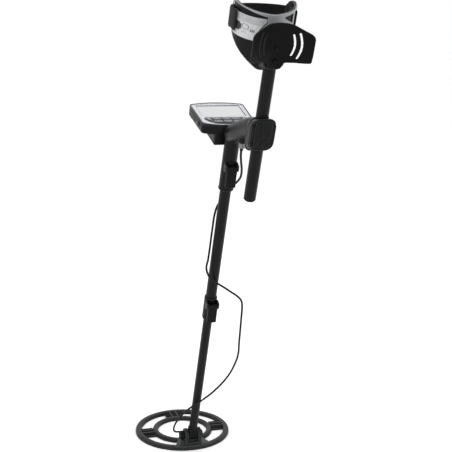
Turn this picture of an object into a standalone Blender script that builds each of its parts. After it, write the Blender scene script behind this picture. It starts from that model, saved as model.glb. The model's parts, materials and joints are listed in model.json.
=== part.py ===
"""Metal detector with a ring coil, a telescopic shaft, a control box, a hand grip and an arm cuff.

Lengths are in millimetres and angles in degrees; the helpers turn them into Blender's units.
Two frames are used. The shaft frame has its origin on the coil's tilt axis, X to the right, Y
forward (away from the user) and Z up the shaft. The coil frame has the same origin and stands
upright. The world's origin is the middle of the hand grip.
"""

import math

import bmesh
import bpy
from mathutils import Matrix, Vector

MM = 0.001
GAP = 0.3  # between pieces that touch on the real object

# Overall layout, in the shaft frame
LEAN = 20.4  # of the shaft, towards the user
GRIP_CENTRE = (0, -62, 787)
ARM_Y = -129.2  # axis of the arm tube behind the shaft

# Telescopic shaft: radii, then ends along Z
LOWER_R, LOWER_BORE = 9.25, 7.75
LOWER_Z = (20, 440)
MIDDLE_R, MIDDLE_BORE = 10.75, 9.55
MIDDLE_Z = (330, 732)
STEM_R, STEM_BORE = 14, 11.05
STEM_Z = (629, 741)

# Cam locks: the pin's place and the lever's reach below it
UPPER_PIN = (0, -19.5, 682)
LOWER_PIN = (0, -18.6, 367)
LEVER_DROP = 38
COLLAR_R = 12.9
COLLAR_Z = (324, 379)

# Hand grip and clamp
GRIP_PATH = [  # y, z and radius
    (2, 742, 17), (-14, 753, 18), (-36, 768, 17.5), (-62, 786, 16.5), (-88, 802, 16), (-114, 815, 16),
]
CLAMP_HALF_X, CLAMP_Z = 22.3, (785, 845)
CLAMP_BACK, CLAMP_SPLIT, CLAMP_FACE = -112, -129, -146
CLAMP_RISE = 0.5  # its sides run level, along the grip, so they climb towards the face
SCREW_X, SCREW_Z, SCREW_END = 17.6, (800, 832), -123.5  # the screws end inside the handle
SOCKET_Y, SOCKET_Z = -54, 753.5

# Arm tube and cuff
ARM_R, ARM_BORE = 10.75, 8.75
ARM_Z = (684.5, 974)
CUFF_Y, CUFF_R, CUFF_WALL = -69, 49, 3
CUFF_END, TIP_START = 114, 88  # how far round each wing goes from the tube, and where its tip begins
CUFF_LOW, CUFF_HIGH = 917.5, 1011
HUB_HALF_X, HUB_Y, HUB_TOP, HUB_LOW, HUB_CUT = 17.5, (-143.6, -115.5), 980, (930, 918), 7.5
STAND_Y, STAND_T, STAND_HALF_X = -143.9, 3.4, 51

# Control box, in its own frame: origin in the middle of its top face
BOX_CENTRE, BOX_TILT = (0, 70, 749.6), -2.7
BOX_HALF_X, BOX_BACK, BOX_FRONT = 53.5, 50, -42
BOX_BULGE_BACK, BOX_BULGE_FRONT, BOX_DEPTH, BOX_WALL = 7.5, -10.5, 20, 2
BEZEL_T = 4
BAY_HALF_X, BAY_Y, BAY_DEPTH = 29.5, (-53.4, 10), 40
DISPLAY_HALF_X, DISPLAY_Y = 43.5, (-9, 43)

# Search coil, in the coil frame: the hinge stands over its user-side edge
COIL_Y, COIL_Z = 87, -30  # centre of the coil's underside
OUTER_RING = (107.5, 94.4)
INNER_RING = (67.8, 56.0)
RING_TOP, PLATE_TOP, SKID_T = 9, 10.5, 1.2
CHANNEL_TOP, COIL_WALL = 6.8, 2.2
SECTOR_HALF = 22.5
SPOKE_HALF = 19
EAR_X, EAR_R, TONGUE_HALF = (11, 18.5), 14, 8.8
BOLT_R = 4

# Coil cable
CABLE_R = 2.1
# From the plug, down past the upper lock, behind the middle tube and out on its left
UPPER_ROUTE = [
    (0, -54, 738), (0.3, -54, 730), (2, -53, 720), (5, -50, 709), (9, -45, 697), (12.5, -38, 685),
    (15.5, -30, 673), (17.5, -20, 661), (18.3, -8, 648), (17, 5, 633), (12.5, 14, 617), (4, 17, 600),
    (-7, 14, 583), (-13, 7, 566), (-15.5, 1, 547), (-16, 0, 522), (-16, 0, 496), (-17, -2, 470),
]
# Across the front of the middle tube, out to the right in a loose loop and back to the lower tube
LOOP_ROUTE = [
    (-17, -2, 469), (-20, -6, 455), (-18, -11, 444), (-13, -15, 436), (-3, -17, 427), (9, -17, 418),
    (22, -16, 408), (36, -16, 397), (50, -16, 386), (60, -16, 374), (64, -16, 358), (66, -16, 330),
    (68, -16, 298), (70, -16, 264), (72, -16, 238), (70, -16, 216), (61, -16, 184), (46, -16, 156),
    (27, -16, 132), (8, -15, 113),
]
# From the lower tube down to the coil's gland
TAIL_ROUTE = [
    (7, -15, 112), (-5, -13, 101), (-19, -8, 83), (-27, 0, 64), (-34, 4, 46), (-39, 8, 29),
    (-41, 10.5, 13), (-38.5, 13.5, 1.5), (-32, 16, -5), (-25, 18, -7.5), (-19.5, 19, -9.5),
    (-16.3, 18.5, -13.4), (-16, 16.9, -17.7),
]

BLACK = ((0.021, 0.022, 0.024), 0.42, 0)
MATTE = ((0.017, 0.018, 0.019), 0.6, 0)
RUBBER = ((0.012, 0.012, 0.013), 0.8, 0)
SILVER = ((0.52, 0.55, 0.58), 0.35, 0.1)
GREY = ((0.33, 0.35, 0.36), 0.5, 0)
GLASS = ((0.62, 0.66, 0.66), 0.12, 0)
KEY = ((0.42, 0.45, 0.47), 0.45, 0)
STEEL = ((0.55, 0.55, 0.56), 0.3, 1)
COPPER = ((0.72, 0.36, 0.18), 0.35, 1)
BOARD = ((0.02, 0.19, 0.09), 0.5, 0)
CELL = ((0.16, 0.17, 0.2), 0.4, 0.3)
FOAM = ((0.015, 0.015, 0.016), 0.95, 0)


def clear_scene():
    for thing in list(bpy.data.objects):
        bpy.data.objects.remove(thing)


def make_collection(name):
    collection = bpy.data.collections.new(name)
    bpy.context.scene.collection.children.link(collection)
    return collection


clear_scene()
PARTS = make_collection("metal_detector")
CUTTERS = make_collection("cutters")


def frame(name, parent=None, at=(0, 0, 0), turn_x=0):
    """An empty that pieces are parented to."""
    empty = bpy.data.objects.new(name, None)
    PARTS.objects.link(empty)
    empty.parent = parent
    empty.location = Vector(at) * MM
    empty.rotation_euler.x = math.radians(turn_x)
    return empty


def finish_of(name, look):
    """A Principled material from a colour, a roughness and a metallic value."""
    material = bpy.data.materials.new(name)
    material.use_nodes = True
    shader = material.node_tree.nodes["Principled BSDF"]
    shader.inputs["Base Color"].default_value = (*look[0], 1)
    shader.inputs["Roughness"].default_value = look[1]
    shader.inputs["Metallic"].default_value = look[2]
    return material


def piece(name, shape, look, parent, at=(0, 0, 0)):
    """Makes a node from a bmesh drawn in its parent's frame, with its origin at the point `at`."""
    bmesh.ops.recalc_face_normals(shape, faces=shape.faces)
    bmesh.ops.translate(shape, verts=shape.verts, vec=-Vector(at))
    bmesh.ops.scale(shape, verts=shape.verts, vec=(MM, MM, MM))
    mesh = bpy.data.meshes.new(name)
    shape.to_mesh(mesh)
    shape.free()
    mesh.shade_smooth()
    mesh.set_sharp_from_angle(angle=math.radians(35))
    thing = bpy.data.objects.new(name, mesh)
    thing.parent = parent
    thing.location = Vector(at) * MM
    mesh.materials.append(finish_of(name, look))
    PARTS.objects.link(thing)
    return thing


def carve(thing, shape, operation="DIFFERENCE"):
    """Cuts a shape out of a node, or joins it on; the shape is drawn in the node's parent's frame."""
    cutter = piece(f"{thing.name}_tool_{len(thing.modifiers)}", shape, MATTE, thing.parent)
    PARTS.objects.unlink(cutter)
    CUTTERS.objects.link(cutter)
    cutter.hide_render = True
    cutter.display_type = "WIRE"
    boolean = thing.modifiers.new("cut", "BOOLEAN")
    boolean.operation = operation
    boolean.object = cutter
    return thing


def join(thing, shape):
    return carve(thing, shape, "UNION")


def moved(shape, matrix):
    bmesh.ops.transform(shape, matrix=matrix, verts=shape.verts)
    return shape


def block(low, high, radius=0, segments=2):
    """A box between two corners, with rounded edges."""
    shape = bmesh.new()
    bmesh.ops.create_cube(shape, size=1)
    low, high = Vector(low), Vector(high)
    bmesh.ops.scale(shape, verts=shape.verts, vec=high - low)
    bmesh.ops.translate(shape, verts=shape.verts, vec=(low + high) / 2)
    if radius:
        bmesh.ops.bevel(
            shape, geom=shape.edges, offset=radius, segments=segments, profile=0.5, affect="EDGES"
        )
    return shape


AXES = {
    "X": Matrix.Rotation(math.pi / 2, 4, "Y"),
    "Y": Matrix.Rotation(-math.pi / 2, 4, "X"),
    "Z": Matrix.Identity(4),
}


def turned(profile, steps=32, axis="Z", centre=(0, 0, 0), ring=True):
    """A solid of revolution from (radius, height) points down its outer side; a ring's profile closes."""
    mesh = bpy.data.meshes.new("profile")
    edges = [(i, i + 1) for i in range(len(profile) - 1)]
    if ring:
        edges.append((len(profile) - 1, 0))
    mesh.from_pydata([(radius * MM, 0, height * MM) for radius, height in profile], edges, [])
    thing = bpy.data.objects.new("profile", mesh)
    bpy.context.scene.collection.objects.link(thing)
    screw = thing.modifiers.new("turn", "SCREW")
    screw.steps = steps
    screw.render_steps = steps
    screw.use_merge_vertices = True
    screw.merge_threshold = 0.00001
    shape = baked(thing)
    return moved(shape, Matrix.Translation(centre) @ AXES[axis])


def rod(radius, low, high, steps=24, axis="Z", centre=(0, 0, 0), chamfer=0):
    """A solid cylinder from low to high along an axis."""
    profile = [(0, high), (radius - chamfer, high), (radius, high - chamfer)]
    profile += [(radius, low + chamfer), (radius - chamfer, low), (0, low)]
    if not chamfer:
        profile = [(0, high), (radius, high), (radius, low), (0, low)]
    return turned(profile, steps, axis, centre, ring=False)


def pipe(outer, bore, low, high, steps=32, axis="Z", centre=(0, 0, 0), chamfer=0):
    """A hollow cylinder with chamfered outer edges."""
    profile = [(bore, high), (outer - chamfer, high), (outer, high - chamfer)]
    profile += [(outer, low + chamfer), (outer - chamfer, low), (bore, low)]
    if not chamfer:
        profile = [(bore, high), (outer, high), (outer, low), (bore, low)]
    return turned(profile, steps, axis, centre)


def baked(thing):
    """The evaluated mesh of a helper object as a bmesh in millimetres; the object is removed."""
    bpy.context.view_layer.update()
    mesh = bpy.data.meshes.new_from_object(thing.evaluated_get(bpy.context.evaluated_depsgraph_get()))
    bpy.data.objects.remove(thing)
    shape = bmesh.new()
    shape.from_mesh(mesh)
    bpy.data.meshes.remove(mesh)
    bmesh.ops.remove_doubles(shape, verts=shape.verts, dist=0.000001)
    bmesh.ops.scale(shape, verts=shape.verts, vec=(1 / MM, 1 / MM, 1 / MM))
    return shape


FACING = {
    "Z": Matrix.Identity(4),
    "Y": Matrix(((1, 0, 0, 0), (0, 0, 1, 0), (0, 1, 0, 0), (0, 0, 0, 1))),
    "X": Matrix(((0, 0, 1, 0), (1, 0, 0, 0), (0, 1, 0, 0), (0, 0, 0, 1))),
}


def slab(outlines, low, high, axis="Z"):
    """A flat piece from closed outlines, the later ones its holes. Its thickness runs along an axis.
    Across X an outline is (y, z), across Y it is (x, z), and across Z it is (x, y)."""
    data = bpy.data.curves.new("outline", "CURVE")
    data.dimensions = "2D"
    data.fill_mode = "BOTH"
    data.extrude = (high - low) / 2 * MM
    for outline in outlines:
        spline = data.splines.new("POLY")
        spline.points.add(len(outline) - 1)
        for point, (u, v) in zip(spline.points, outline):
            point.co = (u * MM, v * MM, 0, 1)
        spline.use_cyclic_u = True
    thing = bpy.data.objects.new("outline", data)
    bpy.context.scene.collection.objects.link(thing)
    shape = baked(thing)
    bmesh.ops.translate(shape, verts=shape.verts, vec=(0, 0, (low + high) / 2))
    return moved(shape, FACING[axis])


def arc(centre, radius, start, end, steps):
    """Points on an arc, both ends included."""
    turns = [math.radians(start + (end - start) * i / steps) for i in range(steps + 1)]
    return [(centre[0] + radius * math.cos(t), centre[1] + radius * math.sin(t)) for t in turns]


def circle(radius, steps, centre=(0, 0)):
    return arc(centre, radius, 0, 360, steps)[:-1]


def rounded(corners, radius, steps=4):
    """A polygon with its corners rounded. A corner may carry its own radius as a third number."""
    result = []
    for i, corner in enumerate(corners):
        here = Vector(corner[:2])
        size = corner[2] if len(corner) > 2 else radius
        before, after = Vector(corners[i - 1][:2]) - here, Vector(corners[(i + 1) % len(corners)][:2]) - here
        reach = min(size, before.length * 0.48, after.length * 0.48)
        start, end = here + before.normalized() * reach, here + after.normalized() * reach
        for k in range(steps + 1 if size else 1):
            t = k / steps if size else 0.5
            point = start * (1 - t) ** 2 + here * 2 * t * (1 - t) + end * t**2
            result.append(tuple(point) if size else tuple(here))
    return result


def rectangle(x, y, radius, steps=4):
    return rounded([(x[0], y[0]), (x[1], y[0]), (x[1], y[1]), (x[0], y[1])], radius, steps)


def smooth_route(points, spacing):
    """Points on a Catmull-Rom curve through a route's points, about `spacing` apart."""
    points = [Vector(p) for p in points]
    padded = [points[0] * 2 - points[1], *points, points[-1] * 2 - points[-2]]
    route = []
    for a, b, c, d in zip(padded, padded[1:], padded[2:], padded[3:]):
        steps = max(1, round((c - b).length / spacing))
        for k in range(steps):
            t = k / steps
            cubic = (3 * b - a - 3 * c + d) * t**3
            route.append(0.5 * (2 * b + (c - a) * t + (2 * a - 5 * b + 4 * c - d) * t**2 + cubic))
    return [*route, points[-1]]


def tube(route, radii, resolution=2):
    """A round rod along a route of points, with one radius or one for each point."""
    data = bpy.data.curves.new("tube", "CURVE")
    data.dimensions = "3D"
    data.bevel_depth = MM
    data.bevel_resolution = resolution
    data.use_fill_caps = True
    spline = data.splines.new("POLY")
    spline.points.add(len(route) - 1)
    for i, point in enumerate(route):
        spline.points[i].co = (*(Vector(point) * MM), 1)
        spline.points[i].radius = radii if isinstance(radii, (int, float)) else radii[i]
    thing = bpy.data.objects.new("tube", data)
    bpy.context.scene.collection.objects.link(thing)
    return baked(thing)


def loft(outlines):
    """A closed skin over outlines of equally many points, capped at both ends."""
    shape = bmesh.new()
    rings = [[shape.verts.new(point) for point in outline] for outline in outlines]
    count = len(rings[0])
    for a, b in zip(rings, rings[1:]):
        for i in range(count):
            shape.faces.new((a[i], a[(i + 1) % count], b[(i + 1) % count], b[i]))
    shape.faces.new(rings[0])
    shape.faces.new(reversed(rings[-1]))
    return shape


def band(stations):
    """A curved wall. Each station is (inner point, outer point, bottom height, top height)."""
    return loft(
        [(*inner, bottom), (*outer, bottom), (*outer, top), (*inner, top)]
        for inner, outer, bottom, top in stations
    )


# Shaft and locks ------------------------------------------------------------------------------


def lock_lever(name, pin, look, parent, lip):
    """A cam lever that hangs from its pin along the tube; its outer face is lipped at the free end."""
    y, z = pin[1], pin[2]
    side = rounded(
        [
            (y + 4, z + 3), (y - 3.8, z + 3), (y - 4.2, z - 30), (y - 4.2 - lip, z - LEVER_DROP),
            (y - 0.5, z - LEVER_DROP), (y + 2.2, z - 33), (y + 4, z - 8),
        ],
        2.2,
    )
    lever = piece(name, slab([side], -9.6, 9.6, "X"), look, parent, pin)
    return carve(lever, rod(2.1, -12, 12, 16, "X", pin))


def lock_lugs(thing, pin, root_y):
    """The two ears that carry a lever's pin, on a socket or a collar."""
    y, z = pin[1], pin[2]
    side = rounded([(root_y, z + 9), (y - 3, z + 6), (y - 3.6, z - 6), (root_y, z - 10)], 3)
    for x in (-13, 9.9):
        join(thing, slab([side], x, x + 3.1, "X"))
    return carve(thing, rod(2.1, -16, 16, 16, "X", pin))


def lock_pin(name, pin, parent):
    return piece(name, rod(1.8, -13, 13, 16, "X", pin, 0.4), STEEL, parent)


def make_shaft(shaft):
    middle = frame("middle_slide", shaft)
    lower = frame("lower_slide", middle)
    piece("middle_tube", pipe(MIDDLE_R, MIDDLE_BORE, *MIDDLE_Z, chamfer=0.4), BLACK, middle)
    piece("lower_tube", pipe(LOWER_R, LOWER_BORE, *LOWER_Z, chamfer=0.4), BLACK, lower)

    collar_profile = [
        (MIDDLE_R + GAP, COLLAR_Z[1]), (COLLAR_R - 0.8, COLLAR_Z[1]), (COLLAR_R, COLLAR_Z[1] - 1),
        (COLLAR_R, COLLAR_Z[0] + 3), (COLLAR_R - 1.6, COLLAR_Z[0]), (LOWER_R + GAP, COLLAR_Z[0]),
        (LOWER_R + GAP, MIDDLE_Z[0] - 1), (MIDDLE_R + GAP, MIDDLE_Z[0] - 1),
    ]
    collar = piece("lower_lock_collar", turned(collar_profile), MATTE, middle)
    lock_lugs(collar, LOWER_PIN, -8)
    carve(collar, rod(MIDDLE_R + GAP, MIDDLE_Z[0] - 1, COLLAR_Z[1] + 5))
    lock_pin("lower_lock_pin", LOWER_PIN, middle)
    lock_lever("lower_lock_lever", LOWER_PIN, MATTE, middle, 1.6)

    top = LOWER_Z[0] - GAP
    tongue = [(-TONGUE_HALF, top - 0.8), *arc((0, 0), 12, 180, 360, 16), (TONGUE_HALF, top - 0.8)]
    yoke = piece("tilt_yoke", slab([tongue], -TONGUE_HALF, TONGUE_HALF, "X"), MATTE, lower)
    join(yoke, rod(9.2, 14, top, 32))
    join(yoke, rod(LOWER_BORE - GAP, 16, 52, 24, chamfer=1))
    carve(yoke, rod(BOLT_R + GAP, -12, 12, 24, "X"))


# Search coil ----------------------------------------------------------------------------------


def ring_gap(start, end):
    """Outline of the opening between the two rings, from one spoke's angle to the next."""
    ends = []
    for radius in (INNER_RING[0], OUTER_RING[1]):
        at_spoke = math.degrees(math.asin(SPOKE_HALF / radius))
        low = start + (SECTOR_HALF if start == -90 else at_spoke)
        high = end - (SECTOR_HALF if end == 270 else at_spoke)
        ends.append(arc((0, 0), radius, low, high, 12))
    return ends[0] + ends[1][::-1]


def coil_ring(radii, bottom):
    """A ring with a crowned top and a channel for its winding underneath."""
    outer, inner = radii
    channel = (outer - COIL_WALL, inner + COIL_WALL)
    profile = [
        (inner + 2.2, RING_TOP - 0.2), ((outer + inner) / 2, RING_TOP), (outer - 2.6, RING_TOP - 0.3),
        (outer - 0.7, RING_TOP - 2.2), (outer, RING_TOP - 4.6), (outer, bottom), (channel[0], bottom),
        (channel[0], CHANNEL_TOP), (channel[1], CHANNEL_TOP), (channel[1], bottom), (inner, bottom),
        (inner, RING_TOP - 3.4), (inner + 0.7, RING_TOP - 1.4),
    ]
    return turned(profile, 48, centre=(0, COIL_Y, COIL_Z))


def spoke_outline():
    """A web between the rings, with ends that follow the rings' walls."""
    ends = []
    for radius in (INNER_RING[0] - COIL_WALL / 2, OUTER_RING[1] + COIL_WALL / 2):
        half = math.degrees(math.asin(SPOKE_HALF / radius))
        ends.append(arc((0, 0), radius, -half, half, 8))
    return ends[0] + ends[1][::-1]


def make_coil(tilt):
    centre = Matrix.Translation((0, COIL_Y, COIL_Z))
    bottom = SKID_T + GAP
    shell = piece("coil_shell", coil_ring(OUTER_RING, bottom), BLACK, tilt)
    join(shell, coil_ring(INNER_RING, bottom))
    rib_ends = (INNER_RING[0] - COIL_WALL * 0.7, OUTER_RING[1] + COIL_WALL * 0.4)
    for turn in (0, 90, 180):
        spin = centre @ Matrix.Rotation(math.radians(turn), 4, "Z")
        join(shell, moved(slab([spoke_outline()], bottom + 0.4, 5), spin))
        for side in (-7, 7):
            rib = block((rib_ends[0], side - 1.4, 3), (rib_ends[1], side + 1.4, RING_TOP - 0.9), 0.4, 1)
            join(shell, moved(rib, spin))
    edge = (-90 - SECTOR_HALF, -90 + SECTOR_HALF)
    sector = arc((0, 0), OUTER_RING[0] + 0.9, *edge, 18) + arc((0, 0), INNER_RING[1] - 0.6, *edge, 12)[::-1]
    join(shell, moved(slab([sector], CHANNEL_TOP + 0.2, PLATE_TOP), centre))
    for side in edge:
        wall = block((rib_ends[0], -1.2, bottom + 0.2), (rib_ends[1], 1.2, CHANNEL_TOP + 1))
        turn = math.radians(side + math.copysign(1, -90 - side) * 0.9)
        join(shell, moved(wall, centre @ Matrix.Rotation(turn, 4, "Z")))
    join(shell, block((-19, -16, COIL_Z + 9), (19, 16, -EAR_R), 1.5, 1))
    ear = [(EAR_R, COIL_Z + 9.5), *arc((0, 0), EAR_R, 0, 180, 14), (-EAR_R, COIL_Z + 9.5)]
    for x in ((-EAR_X[1], -EAR_X[0]), EAR_X):
        join(shell, slab([ear], *x, "X"))
    carve(shell, rod(BOLT_R + GAP, -30, 30, 24, "X"))

    outlines = [circle(OUTER_RING[0] - 0.4, 48), circle(INNER_RING[1] + 0.4, 36)]
    outlines += [ring_gap(*span) for span in ((-90, 0), (0, 90), (90, 180), (180, 270))]
    piece("coil_skid", moved(slab(outlines, 0, SKID_T), centre), BLACK, tilt)
    for name, radii in (("transmit_winding", (103.6, 98.4)), ("receive_winding", (64.0, 59.8))):
        piece(name, pipe(*radii, 2.6, 6.2, 48, centre=(0, COIL_Y, COIL_Z)), COPPER, tilt)

    gland = [(0, 9.6), (2.8, 9.6), (3.6, 6.2), (4.4, 5), (5.4, 4.4), (5.4, 0), (0, 0)]
    foot = (-16, COIL_Y - 65, COIL_Z + PLATE_TOP + GAP)
    gland_piece = piece("cable_gland", turned(gland, 20, centre=foot, ring=False), MATTE, tilt)
    carve(gland_piece, rod(CABLE_R + 0.25, 8, 12, 16, centre=foot))

    bolt = piece("tilt_bolt", rod(BOLT_R, -26.5, 19.5, 24, "X"), MATTE, tilt)
    join(bolt, rod(8, EAR_X[1] + GAP, EAR_X[1] + 4, 6, "X"))
    knob_frame = frame("knob_spin", tilt)
    knob = piece("tilt_knob", rod(9.4, -28.6, -EAR_X[1] - GAP, 28, "X", chamfer=1), MATTE, knob_frame)
    for step in range(6):
        turn = math.radians(60 * step)
        carve(knob, rod(2, -40, -10, 12, "X", (0, 10.4 * math.cos(turn), 10.4 * math.sin(turn))))
    carve(knob, rod(BOLT_R + GAP, -27, -10, 24, "X"))
    washer_span = (TONGUE_HALF + GAP, EAR_X[0] - GAP)
    for name, side in (("washer_left", -1), ("washer_right", 1)):
        span = sorted(side * x for x in washer_span)
        piece(name, pipe(10.5, BOLT_R + GAP, *span, 28, "X"), RUBBER, tilt)


# Hand grip, stem and clamp --------------------------------------------------------------------


def make_handle(shaft):
    path = [(0, y, z) for y, z, radius in GRIP_PATH]
    handle = piece("handle_frame", tube(path, [p[2] for p in GRIP_PATH], 5), BLACK, shaft)
    join(handle, rod(STEM_R, *STEM_Z, 40, chamfer=0.8))
    base = []
    for y, inset in ((CLAMP_SPLIT, 0), (-122, 1), (CLAMP_BACK, 6)):
        outline = rectangle(
            (inset - CLAMP_HALF_X, CLAMP_HALF_X - inset), (CLAMP_Z[0] + inset, CLAMP_Z[1] - inset), 12, 5
        )
        base.append([(x, y, z) for x, z in outline])
    join(handle, climbing(loft(base)))
    join(handle, rod(8.2, SOCKET_Z + 0.3, SOCKET_Z + 18, 28, centre=(0, SOCKET_Y, 0)))
    lock_lugs(handle, UPPER_PIN, -9)
    carve(handle, rod(STEM_BORE, STEM_Z[0] - 5, MIDDLE_Z[1] + 4, 40))
    carve(handle, rod(ARM_R + GAP, 760, 860, 40, centre=(0, ARM_Y, 0)))
    carve(handle, block((-40, CLAMP_SPLIT - 30, 760), (40, CLAMP_SPLIT, 860)))
    carve(handle, rod(4.9, SOCKET_Z - 5, SOCKET_Z + 10, 24, centre=(0, SOCKET_Y, 0)))
    for x in (-SCREW_X, SCREW_X):
        for z in SCREW_Z:
            carve(handle, rod(2, CLAMP_SPLIT - 3, SCREW_END + 1, 12, "Y", (x, 0, z)))

    for boolean in handle.modifiers:
        boolean.solver = "MANIFOLD"  # the bore's thin-walled cuts leave EXACT with open edges

    lock_pin("upper_lock_pin", UPPER_PIN, shaft)
    lock_lever("upper_lock_lever", UPPER_PIN, MATTE, shaft, 2)
    make_clamp(shaft)
    make_connector(shaft)


def climbing(shape):
    """Leans a shape drawn square to the clamp's face, so that its sides run along the grip."""
    lean = Matrix.Identity(4)
    lean[2][1] = -CLAMP_RISE
    lean[2][3] = CLAMP_RISE * CLAMP_FACE
    return moved(shape, lean)


def make_clamp(shaft):
    face = rectangle((-CLAMP_HALF_X, CLAMP_HALF_X), CLAMP_Z, 17, 6)
    inset = 0.8
    raised = rectangle(
        (inset - CLAMP_HALF_X, CLAMP_HALF_X - inset), (CLAMP_Z[0] + inset, CLAMP_Z[1] - inset), 16.5, 6
    )
    cover = piece(
        "clamp_cover", climbing(slab([face], CLAMP_FACE + 4, CLAMP_SPLIT - GAP, "Y")), BLACK, shaft
    )
    join(cover, climbing(slab([raised], CLAMP_FACE, CLAMP_FACE + 6, "Y")))
    carve(cover, rod(ARM_R + GAP, 760, 860, 40, centre=(0, ARM_Y, 0)))
    number = 0
    for z in SCREW_Z[::-1]:
        for x in (-SCREW_X, SCREW_X):
            number += 1
            carve(cover, rod(3.5, CLAMP_FACE - 2, CLAMP_FACE + 3.2, 14, "Y", (x, 0, z)))
            carve(cover, rod(2, CLAMP_FACE, CLAMP_SPLIT + 2, 12, "Y", (x, 0, z)))
            shank = rod(1.7, CLAMP_FACE + 1, SCREW_END, 10, "Y", (x, 0, z))
            screw = piece(f"clamp_screw_{number}", shank, STEEL, shaft)
            join(screw, rod(3.2, CLAMP_FACE + 0.8, CLAMP_FACE + 2.9, 14, "Y", (x, 0, z), 0.4))
            carve(screw, rod(1.5, CLAMP_FACE - 1, CLAMP_FACE + 2, 6, "Y", (x, 0, z)))
    seat = CLAMP_Z[1] + GAP
    seal = pipe(12, ARM_R + GAP, seat, seat + 3, 32, centre=(0, ARM_Y, 0), chamfer=0.6)
    piece("clamp_seal", climbing(seal), RUBBER, shaft)


def make_connector(shaft):
    """The coil's connector under the grip: socket, plug and its coupling ring."""
    centre = (0, SOCKET_Y, 0)
    socket = [
        (3, SOCKET_Z + 8), (4.6, SOCKET_Z + 8), (4.6, SOCKET_Z), (6.4, SOCKET_Z), (6.4, SOCKET_Z - 1.8),
        (4.4, SOCKET_Z - 1.8), (4.4, SOCKET_Z - 5.2), (3, SOCKET_Z - 5.2),
    ]
    piece("cable_socket", turned(socket, 24, centre=centre), STEEL, shaft)
    plug_end = UPPER_ROUTE[0][2] - GAP - 0.1
    plug = [
        (0, SOCKET_Z + 3), (2.7, SOCKET_Z + 3), (2.7, SOCKET_Z - 5.5), (4.4, SOCKET_Z - 5.5),
        (4.4, SOCKET_Z - 10), (3.4, SOCKET_Z - 11.5), (2.8, plug_end), (0, plug_end),
    ]
    plug_piece = piece("cable_plug", turned(plug, 24, centre=centre, ring=False), MATTE, shaft)
    carve(plug_piece, rod(CABLE_R + 0.2, plug_end - 2, UPPER_ROUTE[0][2] + GAP, 16, centre=centre))
    ring_frame = frame("ring_spin", shaft, centre)
    ring_z = (SOCKET_Z - 9.6, SOCKET_Z - 2.1)
    ring = piece("plug_ring", pipe(6.3, 4.7, *ring_z, 24, chamfer=0.5), STEEL, ring_frame)
    for step in range(4):
        turn = math.radians(90 * step + 7.5)
        notch = (6.7 * math.cos(turn), 6.7 * math.sin(turn), 0)
        carve(ring, rod(0.9, ring_z[0] - 3, ring_z[1] + 3, 10, centre=notch))


# Control box ----------------------------------------------------------------------------------


def box_outline(inset):
    """Outline of the control box, bowed at its far and near edges."""
    x, back, front = BOX_HALF_X - inset, BOX_BACK - inset, BOX_FRONT + inset
    corners = [(-x, back - 1, 5), (-x + 2, front, 6)]
    for step in range(1, 6):
        t = step / 6
        corners.append((-x + 2 * x * t, front + BOX_BULGE_FRONT * math.sin(math.pi * t), 4))
    corners += [(x - 2, front, 6), (x, back - 1, 5)]
    for step in range(1, 6):
        t = step / 6
        corners.append((x - 2 * x * t, back + BOX_BULGE_BACK * math.sin(math.pi * t), 4))
    return rounded(corners, 4, 3)


KEY_FIELD = [
    (-44, -18.5, 3), (-37, -14, 3), (37, -14, 3), (44, -18.5, 3), (33, -39, 6), (12, -47.5, 6),
    (-12, -47.5, 6), (-33, -39, 6),
]


def key_outlines():
    """Each key's name and corners: two arrows, then two rows of three."""
    keys = {}
    for name, side in (("key_left", -1), ("key_right", 1)):
        keys[name] = [(side * 41.5, -20, 1.6), (side * 30.5, -17, 1.6), (side * 30.5, -33, 1.6)]
    for number in range(6):
        x, y = (number % 3 - 1) * 18.4, -22.2 - 12 * (number // 3)
        keys[f"key_{number + 1}"] = [
            (x - 8.2, y - 4.4, 2), (x + 8.2, y - 4.4, 2), (x + 8.2, y + 4.4, 2), (x - 8.2, y + 4.4, 2),
        ]
    return keys


def grown(corners, amount):
    """A convex outline with its edges moved outwards."""
    middle = sum((Vector(c[:2]) for c in corners), Vector((0, 0))) / len(corners)
    result = []
    for before, here, after in zip(corners[-1:] + corners[:-1], corners, corners[1:] + corners[:1]):
        normals = []
        for a, b in ((before, here), (here, after)):
            normal = Vector((b[1] - a[1], a[0] - b[0])).normalized()
            normals.append(normal if normal.dot(Vector(here[:2]) - middle) > 0 else -normal)
        shift = (normals[0] + normals[1]) * amount / (1 + normals[0].dot(normals[1]))
        result.append((here[0] + shift.x, here[1] + shift.y, here[2]))
    return result


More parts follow.
